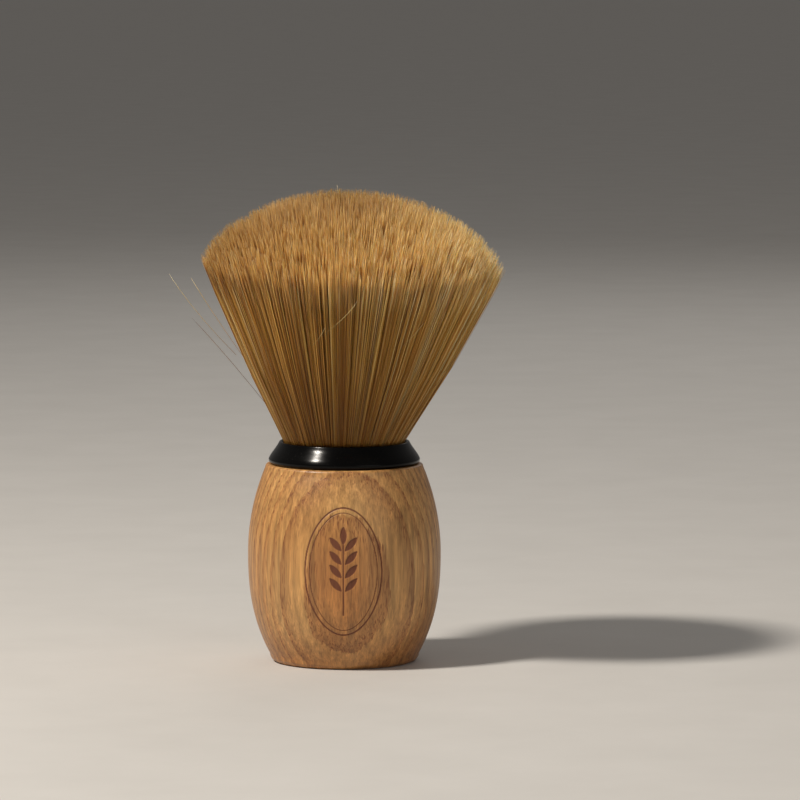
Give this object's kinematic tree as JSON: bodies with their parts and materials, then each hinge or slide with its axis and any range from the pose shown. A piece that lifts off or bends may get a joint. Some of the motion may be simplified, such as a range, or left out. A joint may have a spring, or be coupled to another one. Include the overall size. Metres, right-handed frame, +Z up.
{
  "type": "shaving brush",
  "caption": "Flared golden fibre brush with a domed end, set in a bevelled black collar on a turned barrel-shaped ash handle; stands on its flat base.",
  "frame": {"origin": "middle of the handle's flat base, on the surface the brush stands on", "axes": "+Z up along the brush's turning axis, from the base to the crown of the fibres; the engraved side of the handle faces -Y"},
  "size_m": [0.081, 0.0806, 0.128],
  "materials": {
    "lacquered_ash": "satin",
    "black_plastic": "gloss",
    "golden_fibre": "satin",
    "natural_yarn": "matte",
    "amber_resin": "gloss",
    "clear_adhesive": "gloss"
  },
  "bodies": {
    "root": {"handle": "lacquered_ash", "collar": "black_plastic", "bristle_bundle": "golden_fibre", "root_binding": "natural_yarn", "resin_plug": "amber_resin", "adhesive_bed": "clear_adhesive"}
  },
  "joints": []
}
